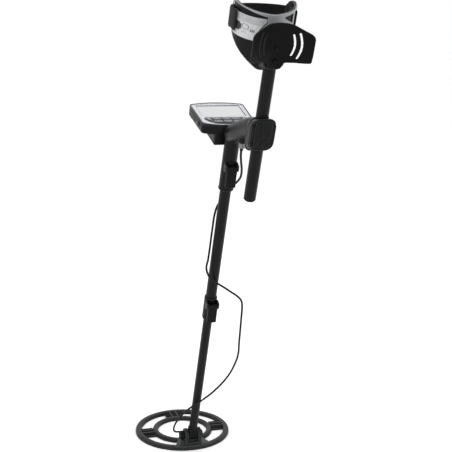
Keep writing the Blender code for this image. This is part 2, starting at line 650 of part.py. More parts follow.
def make_box(shaft):
    box = frame("box_frame", shaft, BOX_CENTRE, BOX_TILT)
    floor = -BOX_DEPTH
    tray = piece("box_lower", slab([box_outline(0)], floor, -BEZEL_T - GAP), BLACK, box)
    bay_outer = block((-BAY_HALF_X, BAY_Y[0], -BAY_DEPTH), (BAY_HALF_X, BAY_Y[1], floor + 4), 3, 2)
    join(tray, bay_outer)
    carve(tray, slab([box_outline(BOX_WALL)], floor + BOX_WALL, 5))
    inner_x, inner_y = BAY_HALF_X - BOX_WALL, (BAY_Y[0] + 5, BAY_Y[1] - 1.8)
    carve(tray, block((-inner_x, inner_y[0], 2 - BAY_DEPTH), (inner_x, inner_y[1], 0)))
    door_z = (3.2 - BAY_DEPTH, floor - 1.2)
    carve(tray, block((-25, inner_y[1] - 2, door_z[0]), (25, BAY_Y[1] + 5, door_z[1])))
    jack = (0, -16, -11.5)
    carve(tray, rod(3.3, -60, -48, 20, "X", jack))

    hinge = (0, BAY_Y[1], door_z[0] + 0.6)
    door = block((-24.6, inner_y[1] + 0.1, door_z[0] + 0.4), (24.6, BAY_Y[1], door_z[1] - 0.4), 0.4, 1)
    piece("battery_door", door, BLACK, box, hinge)
    for name, x in (("battery_1", -27), ("battery_2", 0.5)):
        piece(name, block((x, -43, 2.6 - BAY_DEPTH), (x + 26.5, 5.5, 20.1 - BAY_DEPTH), 2, 2), CELL, box)

    bezel = piece("box_bezel", slab([box_outline(0.9)], -BEZEL_T, 0), SILVER, box)
    carve(bezel, slab([rectangle((-DISPLAY_HALF_X, DISPLAY_HALF_X), DISPLAY_Y, 3)], -9, 5))
    carve(bezel, slab([rounded(KEY_FIELD, 3)], -9, 5))
    glass_x, glass_y = DISPLAY_HALF_X - GAP, (DISPLAY_Y[0] + GAP, DISPLAY_Y[1] - GAP)
    piece("display_window", slab([rectangle((-glass_x, glass_x), glass_y, 2.8)], -2.6, -1.1), GLASS, box)
    piece("display_module", block((-42, -8, -8.2), (42, 41, -3), 0.5, 1), GREY, box)

    keys = key_outlines()
    field = rounded(grown(KEY_FIELD, -GAP), 3)
    holes = [rounded(grown(corners, 0.35), 2) for corners in keys.values()]
    piece("key_mat", slab([field, *holes], -BEZEL_T, -0.7), RUBBER, box)
    for name, corners in keys.items():
        middle = sum((Vector(c[:2]) for c in corners), Vector((0, 0))) / len(corners)
        key = slab([rounded(corners, 2)], -5, 1)
        piece(name, key, KEY, box, (*middle, 1))

    board = slab([rectangle((-41, 41), (-38, 42), 4)], -11.2, -9.6)
    piece("main_board", board, BOARD, box)
    piece("speaker", rod(13, -17.6, -12, 28, centre=(30, 26, 0), chamfer=1), STEEL, box)
    jack_profile = [
        (1.8, -BOX_HALF_X + 10), (2.9, -BOX_HALF_X + 10), (2.9, -BOX_HALF_X - GAP), (4.6, -BOX_HALF_X - GAP),
        (4.6, -BOX_HALF_X - 1.6), (1.8, -BOX_HALF_X - 1.6),
    ]
    piece("headphone_jack", turned(jack_profile, 20, "X", jack), STEEL, box)


# Arm support ----------------------------------------------------------------------------------


def cuff_point(turn, radius):
    """A point of the cradle's U, `turn` degrees round from the tube; past 90 it runs straight."""
    side = math.copysign(1, turn)
    bend = math.radians(min(abs(turn), 90))
    point = Vector((side * radius * math.sin(bend), CUFF_Y - radius * math.cos(bend)))
    past = math.radians(max(abs(turn) - 90, 0)) * CUFF_R
    return tuple(point + Vector((-side * 0.12 * past, past)))


def tip_drop(turn, size):
    """How far an edge draws in towards the tip of a wing, as a quarter round."""
    share = min(max((abs(turn) - TIP_START) / (CUFF_END - TIP_START), 0), 1)
    return size * (1 - math.sqrt(1 - share**2))


def cuff_bottom(turn):
    """The cradle's lower edge, level behind the hub and rising along the wings."""
    return CUFF_LOW + 0.56 * max(0, min(abs(turn), TIP_START) - 20) + tip_drop(turn, 14)


def cuff_top(turn):
    return CUFF_HIGH + 0.075 * min(abs(turn), TIP_START) - tip_drop(turn, 19)


def trim_bottom(turn):
    """The rim band is deep on the right wing and thins out along the left one."""
    depth = 6.6 - 0.09 * abs(turn) if turn < 0 else 6.6 - 0.045 * turn
    return cuff_top(turn) - max(depth, 1.8)


def label_bottom(turn):
    """Level along the wing, then climbing beside the stand plate."""
    return 965 + 7.7 * math.sqrt(max(0, turn + 31))


def cuff_band(inner, outer, span, bottom, top, steps=22):
    turns = [span[0] + (span[1] - span[0]) * i / steps for i in range(steps + 1)]
    return band([(cuff_point(t, inner), cuff_point(t, outer), bottom(t), top(t)) for t in turns])


def make_arm_support(shaft):
    arm = frame("arm_slide", shaft, (0, ARM_Y, 0))
    piece("arm_tube", pipe(ARM_R, ARM_BORE, *ARM_Z, 36, chamfer=0.4), BLACK, arm)
    low = ARM_Z[0]
    cap = [
        (0, low + 14), (7.6, low + 14), (8.4, low + 12), (8.4, low - GAP), (ARM_R, low - GAP),
        (ARM_R, low - 1.6), (ARM_R - 2, low - 4), (0, low - 4.6),
    ]
    piece("tube_cap", turned(cap, 32, ring=False), RUBBER, arm)

    cradle = frame("cradle_frame", arm, (0, -ARM_Y, 0))
    span = (-CUFF_END, CUFF_END)
    shell_in = CUFF_R - CUFF_WALL
    shell = piece(
        "cuff_shell", cuff_band(shell_in, CUFF_R, span, cuff_bottom, cuff_top, 28), BLACK, cradle
    )
    side, cut = HUB_HALF_X, HUB_CUT
    outline = [
        (-side, HUB_TOP), (-side, HUB_LOW[0] + cut, 3), (cut - side, HUB_LOW[0], 3),
        (side - cut, HUB_LOW[0], 3), (side, HUB_LOW[0] + cut, 3), (side, HUB_TOP),
    ]
    hub = slab([rounded(outline, 0, 3)], *HUB_Y, "Y")
    for vert in hub.verts:  # its underside falls away towards the cradle
        if vert.co.z < HUB_TOP - 1:
            vert.co.z += (vert.co.y - HUB_Y[0]) * (HUB_LOW[1] - HUB_LOW[0]) / (HUB_Y[1] - HUB_Y[0])
    join(shell, hub)
    carve(shell, rod(ARM_R + GAP, CUFF_LOW - 5, ARM_Z[1] + GAP, 36, centre=(0, ARM_Y, 0)))
    screw_z = (945, 968)
    for z in screw_z:
        carve(shell, rod(2.3, -160, -141.2, 16, "Y", (0, 0, z)))
    make_trim(cradle)
    liner = cuff_band(
        shell_in - 5, shell_in - GAP, (-108, 108),
        lambda t: cuff_bottom(t) + 12, lambda t: cuff_top(t) - 5, 26,
    )
    piece("cuff_liner", liner, FOAM, cradle)
    make_strap(cradle)
    make_stand(cradle, screw_z)


def make_trim(cradle):
    """The grey trim: a rim band, a bridge over the hub, a brace on each side, and the label."""
    inner, outer = CUFF_R + GAP, CUFF_R + 2.3
    rim = cuff_band(inner, outer, (-CUFF_END, CUFF_END), trim_bottom, lambda t: cuff_top(t) + 0.5, 28)
    trim = piece("cuff_trim", rim, GREY, cradle)
    join(trim, cuff_band(inner, outer, (-12, 22), lambda t: 988, lambda t: cuff_top(t) - 1, 8))
    left_brace = cuff_band(
        inner, outer, (-29, -11), lambda t: label_bottom(t) - 8.5, lambda t: label_bottom(t) - 2.2, 10
    )
    join(trim, left_brace)
    right_brace = cuff_band(
        inner, outer, (20, 52), lambda t: 997 - 0.4 * (t - 22), lambda t: 1004.5 - 0.45 * (t - 22), 8
    )
    join(trim, right_brace)
    join(trim, cuff_band(inner, outer, (46, 52), lambda t: 990, lambda t: cuff_top(t) - 1, 2))
    label = cuff_band(inner, CUFF_R + 1.1, (-89, -13), label_bottom, lambda t: 1003.4, 38)
    piece("cuff_label", label, SILVER, cradle)


def make_strap(cradle):
    """Webbing round the outside of both wings and across the cradle's open side."""
    radius, middle_x, open_y, rise = 54, -0.5, CUFF_Y + 9.4, 38
    left = [Vector(p) for p in arc((middle_x, CUFF_Y), radius, 196, 180, 4)]
    across = [Vector((middle_x + radius * x, open_y + rise * y)) for x, y in arc((0, 0), 1, 180, 0, 20)]
    right = [Vector(p) for p in arc((middle_x, CUFF_Y), radius, 0, -16, 4)]
    points = left + across + right
    stations = []
    for i, point in enumerate(points):
        along = points[min(i + 1, len(points) - 1)] - points[max(i - 1, 0)]
        inwards = Vector((along.y, -along.x)).normalized() * 1.6
        lift = 9 * min(1, (open_y + rise - point.y) / (open_y + rise - CUFF_Y))
        stations.append((tuple(point + inwards), tuple(point), 962 + lift, 997 + lift))
    piece("cuff_strap", band(stations), FOAM, cradle)


def stand_bend(x):
    """The stand plate bends away from the cradle towards both sides."""
    return STAND_Y - 30 * (abs(x) / 52) ** 1.6


def wing_slot(reach, bow, low, high, width):
    """A slot across the plate that bows outwards."""
    middle = [(reach + bow * math.sin(math.pi * k / 6), low + (high - low) * k / 6) for k in range(7)]
    sizes = [1.6, 0, 0, 0, 0, 0, 1.6]
    inner = [(x - width / 2, z, size) for (x, z), size in zip(middle, sizes)]
    outer = [(x + width / 2, z, size) for (x, z), size in zip(middle, sizes)]
    return rounded(inner + outer[::-1], 0, 3)


def make_stand(cradle, screw_z):
    """The bowed plate on the user's side of the tube, with two slots in each wing."""
    half = [
        (10.5, 933, 3), (13.5, 944, 4), (44, 950.4, 2), (STAND_HALF_X, 953, 6), (STAND_HALF_X + 0.5, 998, 7),
        (34, 1003.5, 10), (20, 1009, 12),
    ]
    outline = rounded(half + [(-x, z, size) for x, z, size in half[::-1]], 5)
    stations = []
    for step in range(19):
        x = (step / 9 - 1) * (STAND_HALF_X + 4)
        y = stand_bend(x)
        stations.append(((x, y), (x, y - STAND_T), 920, 1020))
    plate = piece("stand_plate", band(stations), BLACK, cradle)
    carve(plate, slab([outline], -200, -100, "Y"), "INTERSECT")
    for side in (-1, 1):
        for reach, bow, ends in ((22.4, 3.8, (957, 993.5)), (30.8, 4.8, (954, 997.5))):
            slot = [(side * x, z) for x, z in wing_slot(reach, bow, *ends, 3.1)]
            carve(plate, slab([slot], -200, -100, "Y"))
    for number, z in enumerate(screw_z, 1):
        carve(plate, rod(2.3, -160, -139, 16, "Y", (0, 0, z)))
        face = STAND_Y - STAND_T
        screw = piece(f"stand_screw_{number}", rod(2, face - 1, -141.6, 16, "Y", (0, 0, z)), STEEL, cradle)
        join(screw, rod(3.8, face - 2.6, face - 0.6, 20, "Y", (0, 0, z), 0.6))


# Cable ----------------------------------------------------------------------------------------


def make_cable(shaft):
    for name, route in (("cable_upper", UPPER_ROUTE), ("cable_loop", LOOP_ROUTE)):
        piece(name, tube(smooth_route(route, 12), CABLE_R), RUBBER, shaft)
    piece("cable_tail", tube(smooth_route(TAIL_ROUTE, 8), CABLE_R), RUBBER, shaft)


def main():
    lean = Matrix.Rotation(math.radians(LEAN), 4, "X")
    start = -(lean @ Vector(GRIP_CENTRE))
    shaft = frame("shaft_frame", None, start, LEAN)
    tilt = frame("coil_frame", None, start)
    make_shaft(shaft)
    make_coil(tilt)
    make_handle(shaft)
    make_box(shaft)
    make_arm_support(shaft)
    make_cable(shaft)


main()
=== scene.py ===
"""The looks of a metal detector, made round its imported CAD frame.

Shapes are drawn in millimetres in one of four frames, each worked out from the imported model's
joints: the shaft frame (Z up the shaft, Y forward), the coil frame (upright, on the tilt axis), the
box frame (on the middle of the control box's top) and the world. Helpers and materials come first,
then the camera and light, then the looks, with a function for each group of pieces.
"""

import json
import math

import bmesh
import bpy
from mathutils import Matrix, Vector


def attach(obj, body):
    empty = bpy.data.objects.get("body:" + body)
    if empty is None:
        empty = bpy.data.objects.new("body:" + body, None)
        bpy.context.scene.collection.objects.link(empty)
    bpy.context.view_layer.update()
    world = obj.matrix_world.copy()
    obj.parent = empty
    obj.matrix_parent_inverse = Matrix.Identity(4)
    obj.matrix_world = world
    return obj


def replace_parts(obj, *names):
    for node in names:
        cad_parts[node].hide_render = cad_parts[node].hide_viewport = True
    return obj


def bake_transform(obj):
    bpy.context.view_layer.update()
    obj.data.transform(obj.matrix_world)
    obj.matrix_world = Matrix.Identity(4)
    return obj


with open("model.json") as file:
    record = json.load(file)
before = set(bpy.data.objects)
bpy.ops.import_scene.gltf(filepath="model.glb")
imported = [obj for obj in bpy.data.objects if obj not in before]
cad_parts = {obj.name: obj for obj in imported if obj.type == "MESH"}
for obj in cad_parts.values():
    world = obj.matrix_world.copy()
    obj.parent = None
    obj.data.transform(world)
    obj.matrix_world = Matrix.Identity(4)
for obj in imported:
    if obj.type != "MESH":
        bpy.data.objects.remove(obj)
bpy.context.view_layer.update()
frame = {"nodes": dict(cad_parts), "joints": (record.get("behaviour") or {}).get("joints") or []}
NODES = frame["nodes"]
JOINTS = {joint["name"]: joint for joint in frame["joints"]}

MM = 0.001
GAP = 0.3  # between the CAD's touching pieces

# Camera, fitted to the photograph: place in metres, angles in radians, lens on a 36 mm sensor
CAMERA_AT = (-0.524569, -1.560464, 0.171296)
CAMERA_YAW, CAMERA_PITCH, CAMERA_ROLL = 0.3047, -0.2078, 0.0167
CAMERA_LENS = 75.31

# Cable: the same three routes as part.py's, in the shaft frame
CABLE_RADIUS = 2.1
UPPER_ROUTE = [
    (0, -54, 738), (0.3, -54, 730), (2, -53, 720), (5, -50, 709), (9, -45, 697), (12.5, -38, 685),
    (15.5, -30, 673), (17.5, -20, 661), (18.3, -8, 648), (17, 5, 633), (12.5, 14, 617), (4, 17, 600),
    (-7, 14, 583), (-13, 7, 566), (-15.5, 1, 547), (-16, 0, 522), (-16, 0, 496), (-17, -2, 470),
]
LOOP_ROUTE = [
    (-17, -2, 469), (-20, -6, 455), (-18, -11, 444), (-13, -15, 436), (-3, -17, 427), (9, -17, 418),
    (22, -16, 408), (36, -16, 397), (50, -16, 386), (60, -16, 374), (64, -16, 358), (66, -16, 330),
    (68, -16, 298), (70, -16, 264), (72, -16, 238), (70, -16, 216), (61, -16, 184), (46, -16, 156),
    (27, -16, 132), (8, -15, 113),
]
TAIL_ROUTE = [
    (7, -15, 112), (-5, -13, 101), (-19, -8, 83), (-27, 0, 64), (-34, 4, 46), (-39, 8, 29),
    (-41, 10.5, 13), (-38.5, 13.5, 1.5), (-32, 16, -5), (-25, 18, -7.5), (-19.5, 19, -9.5),
    (-16.3, 18.5, -13.4), (-16, 16.9, -17.7),
]

# Cuff, as in part.py: a U round the forearm, in the shaft frame
CUFF_Y, CUFF_R, CUFF_WALL = -69, 49, 3
CUFF_END, TIP_START = 114, 88
CUFF_LOW, CUFF_HIGH = 917.5, 1011


# Frames ---------------------------------------------------------------------------------------


def frame_of(up, origin):
    """A frame with X to the right and Z along `up`."""
    up = Vector(up)
    forward = up.cross(Vector((1, 0, 0)))
    matrix = Matrix((Vector((1, 0, 0)), forward, up)).transposed().to_4x4()
    matrix.translation = Vector(origin)
    return matrix


def span(nodes, matrix):
    """Lowest and highest corner of CAD nodes in a frame, in millimetres."""
    names = [nodes] if isinstance(nodes, str) else nodes
    inverse = matrix.inverted()
    points = [inverse @ v.co / MM for name in names for v in NODES[name].data.vertices]
    return tuple(Vector(pick(p[i] for p in points) for i in range(3)) for pick in (min, max))


HINGE = JOINTS["coil_tilt"]["pos_m"]
SHAFT = frame_of(JOINTS["middle_slide"]["axis"], HINGE)
COIL = frame_of((0, 0, 1), HINGE)
BOX_UP = -Vector(JOINTS["press_1"]["axis"])
BOX_REACH = 56.6  # from the box frame's origin to the bezel's far edge
_high = span("box_bezel", frame_of(BOX_UP, (0, 0, 0)))[1]
BOX = frame_of(BOX_UP, (0, 0, 0)) @ Matrix.Translation(Vector((0, _high.y - BOX_REACH, _high.z)) * MM)


# Mesh helpers ---------------------------------------------------------------------------------


def add(name, data):
    thing = bpy.data.objects.new(name, data)
    bpy.context.scene.collection.objects.link(thing)
    return thing


def baked(thing):
    """The evaluated mesh of a helper object; the object is removed."""
    bpy.context.view_layer.update()
    mesh = bpy.data.meshes.new_from_object(thing.evaluated_get(bpy.context.evaluated_depsgraph_get()))
    bpy.data.objects.remove(thing)
    return mesh


def shape_of(thing):
    """The same, as a bmesh whose doubled points are merged."""
    mesh = baked(thing)
    shape = bmesh.new()
    shape.from_mesh(mesh)
    bpy.data.meshes.remove(mesh)
    bmesh.ops.remove_doubles(shape, verts=shape.verts, dist=0.001)
    return shape


def piece(name, shapes, matrix, look, body, sharp=35):
    """A visible piece from one shape or several, drawn in millimetres in a frame."""
    shapes = shapes if isinstance(shapes, list) else [shapes]
    whole = bmesh.new()
    for shape in shapes:
        bmesh.ops.recalc_face_normals(shape, faces=shape.faces)
        mesh = bpy.data.meshes.new(name)
        shape.to_mesh(mesh)
        shape.free()
        whole.from_mesh(mesh)
        bpy.data.meshes.remove(mesh)
    bmesh.ops.transform(whole, matrix=matrix @ Matrix.Scale(MM, 4), verts=whole.verts)
    mesh = bpy.data.meshes.new(name)
    whole.to_mesh(mesh)
    whole.free()
    return dressed(add(name, mesh), look, body, sharp)


def dressed(thing, look, body, sharp=35):
    """Gives a piece its material and the body it rides on."""
    thing.data.shade_smooth()
    if sharp:
        thing.data.set_sharp_from_angle(angle=math.radians(sharp))
    thing.data.materials.clear()
    thing.data.materials.append(look)
    if body:
        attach(thing, body)
    return thing


def moved(shape, matrix):
    bmesh.ops.transform(shape, matrix=matrix, verts=shape.verts)
    return shape


def block(low, high, radius=0, segments=2):
    shape = bmesh.new()
    bmesh.ops.create_cube(shape, size=1)
    low, high = Vector(low), Vector(high)
    bmesh.ops.scale(shape, verts=shape.verts, vec=high - low)
    bmesh.ops.translate(shape, verts=shape.verts, vec=(low + high) / 2)
    if radius:
        bmesh.ops.bevel(
            shape, geom=shape.edges, offset=radius, segments=segments, profile=0.5, affect="EDGES"
        )
    return shape


AXES = {
    "X": Matrix.Rotation(math.pi / 2, 4, "Y"),
    "Y": Matrix.Rotation(-math.pi / 2, 4, "X"),
    "Z": Matrix.Identity(4),
}


def turned(profile, steps=48, axis="Z", centre=(0, 0, 0), ring=True):
    """A solid of revolution from (radius, height) points; a ring's profile closes on itself."""
    mesh = bpy.data.meshes.new("profile")
    edges = [(i, i + 1) for i in range(len(profile) - 1)]
    if ring:
        edges.append((len(profile) - 1, 0))
    mesh.from_pydata([(radius, 0, height) for radius, height in profile], edges, [])
    screw = add("profile", mesh).modifiers.new("turn", "SCREW")
    screw.steps = screw.render_steps = steps
    screw.use_merge_vertices = True
    screw.merge_threshold = 0.001
    return moved(shape_of(screw.id_data), Matrix.Translation(centre) @ AXES[axis])


def rod(radius, low, high, steps=32, axis="Z", centre=(0, 0, 0), chamfer=0.3):
    profile = [(0, high), (radius - chamfer, high), (radius, high - chamfer)]
    profile += [(radius, low + chamfer), (radius - chamfer, low), (0, low)]
    return turned(profile, steps, axis, centre, ring=False)


FACING = {
    "Z": Matrix.Identity(4),
    "Y": Matrix(((1, 0, 0, 0), (0, 0, 1, 0), (0, 1, 0, 0), (0, 0, 0, 1))),
    "X": Matrix(((0, 0, 1, 0), (1, 0, 0, 0), (0, 1, 0, 0), (0, 0, 0, 1))),
}


def slab(outlines, low, high, axis="Z", bevel=0, segments=2):
    """A flat piece from closed outlines, the later ones its holes, with rounded edges if asked."""
    data = bpy.data.curves.new("outline", "CURVE")
    data.dimensions = "2D"
    data.fill_mode = "BOTH"
    data.extrude = (high - low) / 2
    for outline in outlines:
        spline = data.splines.new("POLY")
        spline.points.add(len(outline) - 1)
        for point, (u, v) in zip(spline.points, outline):
            point.co = (u, v, 0, 1)
        spline.use_cyclic_u = True
    shape = shape_of(add("outline", data))
    if bevel:
        rims = [e for e in shape.edges if len(e.link_faces) == 2 and e.calc_face_angle() > 1.2]
        rims = [e for e in rims if abs(e.verts[0].co.z - e.verts[1].co.z) < 0.001]
        bmesh.ops.bevel(
            shape, geom=rims, offset=bevel, segments=segments, profile=0.5, affect="EDGES", clamp_overlap=True
        )
    bmesh.ops.translate(shape, verts=shape.verts, vec=(0, 0, (low + high) / 2))
    return moved(shape, FACING[axis])


def arc(centre, radius, start, end, steps):
    turns = [math.radians(start + (end - start) * i / steps) for i in range(steps + 1)]
    return [(centre[0] + radius * math.cos(t), centre[1] + radius * math.sin(t)) for t in turns]


def rounded(corners, radius, steps=6):
    """A polygon with its corners rounded. A corner may carry its own radius as a third number."""
    result = []
    for i, corner in enumerate(corners):
        here = Vector(corner[:2])
        size = corner[2] if len(corner) > 2 else radius
        before, after = Vector(corners[i - 1][:2]) - here, Vector(corners[(i + 1) % len(corners)][:2]) - here
        reach = min(size, before.length * 0.48, after.length * 0.48)
        start, end = here + before.normalized() * reach, here + after.normalized() * reach
        for k in range(steps + 1 if size else 1):
            t = k / steps if size else 0.5
            point = start * (1 - t) ** 2 + here * 2 * t * (1 - t) + end * t**2
            result.append(tuple(point) if size else tuple(here))
    return result


def rectangle(x, y, radius, steps=6):
    return rounded([(x[0], y[0]), (x[1], y[0]), (x[1], y[1]), (x[0], y[1])], radius, steps)


def smooth_route(points, spacing):
    """Points on a Catmull-Rom curve through a route's points, about `spacing` apart."""
    points = [Vector(p) for p in points]
    padded = [points[0] * 2 - points[1], *points, points[-1] * 2 - points[-2]]
    route = []
    for a, b, c, d in zip(padded, padded[1:], padded[2:], padded[3:]):
        steps = max(1, round((c - b).length / spacing))
        for k in range(steps):
            t = k / steps
            cubic = (3 * b - a - 3 * c + d) * t**3
            route.append(0.5 * (2 * b + (c - a) * t + (2 * a - 5 * b + 4 * c - d) * t**2 + cubic))
    return [*route, points[-1]]


def tube(route, radii, resolution=4):
    """A round rod along a route of points, with a radius at each."""
    data = bpy.data.curves.new("tube", "CURVE")
    data.dimensions = "3D"
    data.bevel_depth = 1
    data.bevel_resolution = resolution
    data.use_fill_caps = True
    spline = data.splines.new("POLY")
    spline.points.add(len(route) - 1)
    for point, place, radius in zip(spline.points, route, radii):
        point.co = (*place, 1)
        point.radius = radius
    return shape_of(add("tube", data))


def loft(rings):
    """A closed skin over rings of equally many points, capped at both ends."""
    shape = bmesh.new()
    rows = [[shape.verts.new(point) for point in ring] for ring in rings]
    count = len(rows[0])
    for a, b in zip(rows, rows[1:]):
        for i in range(count):
            shape.faces.new((a[i], a[(i + 1) % count], b[(i + 1) % count], b[i]))
    shape.faces.new(rows[0])
    shape.faces.new(reversed(rows[-1]))
    return shape


def copy_of(node, matrix):
    """A CAD node's shape in a frame, in millimetres."""
    shape = bmesh.new()
    shape.from_mesh(NODES[node].data)
    bmesh.ops.transform(shape, matrix=Matrix.Scale(1 / MM, 4) @ matrix.inverted(), verts=shape.verts)
    bmesh.ops.remove_doubles(shape, verts=shape.verts, dist=0.001)
    return shape


def moulded(name, shapes, matrix, voxel, rounds, look, body, node=None):
    """Shapes fused into one moulding with soft edges: a voxel remesh, smoothed a few rounds."""
    thing = piece(name, shapes, matrix, look, None, 0)
    remesh = thing.modifiers.new("fuse", "REMESH")
    remesh.mode = "VOXEL"
    remesh.voxel_size = voxel * MM
    remesh.use_smooth_shade = True
    smooth = thing.modifiers.new("soften", "SMOOTH")
    smooth.iterations = rounds
    mesh = baked(thing)
    mesh.name = name
    result = dressed(add(name, mesh), look, body, 0)
    if node:
        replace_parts(result, node)
    return result


# Materials ------------------------------------------------------------------------------------


class Look:
    """A Principled material with its nodes, built up a layer at a time."""

    def __init__(self, name, colour, roughness, metallic=0.0, specular=0.5):
        self.material = bpy.data.materials.new(name)
        self.material.use_nodes = True
        self.tree = self.material.node_tree
        self.shader = self.tree.nodes["Principled BSDF"]
        self.shader.inputs["Base Color"].default_value = (*colour, 1)
        self.shader.inputs["Roughness"].default_value = roughness
        self.shader.inputs["Metallic"].default_value = metallic
        self.shader.inputs["Specular IOR Level"].default_value = specular
        self.colour, self.roughness = colour, roughness
        self.place = self.tree.nodes.new("ShaderNodeTexCoord").outputs["Object"]
        self.normal = None

    def along(self, turn, stretch):
        """Texture coordinates turned about X and stretched, for drawn or woven surfaces."""
        mapping = self.tree.nodes.new("ShaderNodeMapping")
        mapping.inputs["Rotation"].default_value = (turn, 0, 0)
        mapping.inputs["Scale"].default_value = stretch
        self.tree.links.new(self.place, mapping.inputs["Vector"])
        return mapping.outputs["Vector"]

    def noise(self, scale, detail=3, place=None):
        noise = self.tree.nodes.new("ShaderNodeTexNoise")
        noise.inputs["Scale"].default_value = scale
        noise.inputs["Detail"].default_value = detail
        self.tree.links.new(place or self.place, noise.inputs["Vector"])
        return noise.outputs["Fac"]

    def mapped(self, source, low, high, start=0.3, end=0.7):
        mapping = self.tree.nodes.new("ShaderNodeMapRange")
        for key, value in (("From Min", start), ("From Max", end), ("To Min", low), ("To Max", high)):
            mapping.inputs[key].default_value = value
        self.tree.links.new(source, mapping.inputs["Value"])
        return mapping.outputs["Result"]

    def mottled(self, source, darker, lighter):
        """The base colour, varied between a darker and a lighter share of itself."""
        ramp = self.tree.nodes.new("ShaderNodeValToRGB")
        ramp.color_ramp.elements[0].position = 0.3
        ramp.color_ramp.elements[1].position = 0.7
        for element, share in zip(ramp.color_ramp.elements, (darker, lighter)):
            element.color = (*(min(1, c * share) for c in self.colour), 1)
        self.tree.links.new(source, ramp.inputs["Fac"])
        self.tree.links.new(ramp.outputs["Color"], self.shader.inputs["Base Color"])
        return self

    def edge_highlights(self, share):
        """Painted highlight: convex edges are painted lighter, and creases keep the darker base colour."""
        geometry = self.tree.nodes.new("ShaderNodeNewGeometry")
        # Pointiness mask for the painted edge highlight
        highlight_mask = self.mapped(geometry.outputs["Pointiness"], 0, 1, 0.51, 0.56)
        mix = self.tree.nodes.new("ShaderNodeMixRGB")
        before = self.shader.inputs["Base Color"].links[0].from_socket
        self.tree.links.new(highlight_mask, mix.inputs["Fac"])
        self.tree.links.new(before, mix.inputs["Color1"])
        mix.inputs["Color2"].default_value = (*(min(1, c * share) for c in self.colour), 1)
        self.tree.links.new(mix.outputs["Color"], self.shader.inputs["Base Color"])
        return self

    def rough(self, source, spread):
        """The roughness, varied by `spread` either way."""
        varied = self.mapped(source, self.roughness - spread, self.roughness + spread)
        self.tree.links.new(varied, self.shader.inputs["Roughness"])
        return self

    def bumped(self, source, depth):
        """Adds a layer of relief, `depth` in millimetres."""
        bump = self.tree.nodes.new("ShaderNodeBump")
        bump.inputs["Strength"].default_value = 1
        bump.inputs["Distance"].default_value = depth * MM
        self.tree.links.new(source, bump.inputs["Height"])
        if self.normal:
            self.tree.links.new(self.normal, bump.inputs["Normal"])
        self.normal = bump.outputs["Normal"]
        self.tree.links.new(self.normal, self.shader.inputs["Normal"])
        return self


SHAFT_TURN = math.radians(-20.4)  # the shaft's lean, for textures drawn along it


def moulded_plastic(name, colour, roughness, grain=0.02, specular=0.5, edge_highlights=True):
    """Black or grey moulded plastic: fine grain, faint mottling in patches and, unless turned off, a painted
    highlight on convex edges.
    """
    look = Look(name, colour, roughness, specular=specular)
    look.mottled(look.noise(60, 4), 0.82, 1.2).rough(look.noise(25, 5), 0.07)
    # Convex edges painted lighter as a highlight
    if edge_highlights:
        look.edge_highlights(6)
    return look.bumped(look.noise(2600, 2), grain).material


def drawn_tube(name, colour, roughness):
    """Anodised tube: fine drawn lines along its length, and darker and lighter patches."""
    look = Look(name, colour, roughness, specular=0.12)
    lines = look.noise(900, 2, look.along(SHAFT_TURN, (1, 1, 0.02)))
    look.mottled(look.noise(35, 4), 0.85, 1.25).rough(lines, 0.06)
    return look.bumped(lines, 0.008).material


def soft_rubber(name, colour, roughness, grain=0.03):
    look = Look(name, colour, roughness, specular=0.1)
    look.shader.inputs["Sheen Weight"].default_value = 0.02
    look.mottled(look.noise(90, 4), 0.8, 1.25).rough(look.noise(40, 3), 0.05)
    return look.bumped(look.noise(1500, 3), grain).material


def painted(name, colour, roughness):
    """Silver-grey painted plastic with a fine metallic fleck."""
    look = Look(name, colour, roughness, metallic=0.15)
    look.shader.inputs["Coat Weight"].default_value = 0.25
    look.mottled(look.noise(3200, 1), 0.94, 1.06).rough(look.noise(30, 4), 0.04)
    return look.bumped(look.noise(1800, 2), 0.006).material


def metal(name, colour, roughness):
    look = Look(name, colour, roughness, metallic=1.0)
    look.mottled(look.noise(120, 3), 0.9, 1.1).rough(look.noise(700, 3), 0.08)
    return look.bumped(look.noise(900, 3), 0.004).material


def woven(name, colour, roughness, turn, pitch, depth):
    """Webbing or knitted cloth: a weave of two crossed waves, with fuzz."""
    look = Look(name, colour, roughness, specular=0.1)
    look.shader.inputs["Sheen Weight"].default_value = 0.06
    place = look.along(turn, (1, 1, 1))
    waves = []
    for direction in ("X", "Z"):
        wave = look.tree.nodes.new("ShaderNodeTexWave")
        wave.bands_direction = direction
        wave.inputs["Scale"].default_value = math.pi / (10 * pitch * MM)
        wave.inputs["Distortion"].default_value = 0.6
        wave.inputs["Detail Scale"].default_value = 2
        look.tree.links.new(place, wave.inputs["Vector"])
        waves.append(wave.outputs["Fac"])
    weave = look.tree.nodes.new("ShaderNodeMath")
    weave.operation = "MULTIPLY"
    look.tree.links.new(waves[0], weave.inputs[0])
    look.tree.links.new(waves[1], weave.inputs[1])
    look.mottled(weave.outputs["Value"], 0.7, 1.5)
    return look.bumped(weave.outputs["Value"], depth).bumped(look.noise(900, 4), 0.06).material


BLACK = moulded_plastic("black_plastic", (0.0048, 0.005, 0.0055), 0.38, specular=0.11)
MATT = moulded_plastic("matt_plastic", (0.0042, 0.0044, 0.0048), 0.5, 0.03, 0.08)
GRIP = soft_rubber("grip_rubber", (0.0045, 0.0047, 0.0051), 0.42)
PLAIN = moulded_plastic("small_parts", (0.0035, 0.0036, 0.004), 0.5, 0.02, 0.08, edge_highlights=False)
STAND = moulded_plastic("stand_plastic", (0.0032, 0.0034, 0.0037), 0.46, 0.03, 0.07)
SHELL = moulded_plastic("coil_plastic", (0.01, 0.0106, 0.0113), 0.46, 0.03, 0.18)
WEB = moulded_plastic("coil_web", (0.003, 0.003, 0.0033), 0.6, 0.03, 0.05, edge_highlights=False)
PLATE = moulded_plastic("coil_plate", (0.017, 0.022, 0.0205), 0.5, 0.03, 0.25, edge_highlights=False)
RIB = moulded_plastic("coil_rib", (0.045, 0.0475, 0.05), 0.5, 0.02, 0.3, edge_highlights=False)
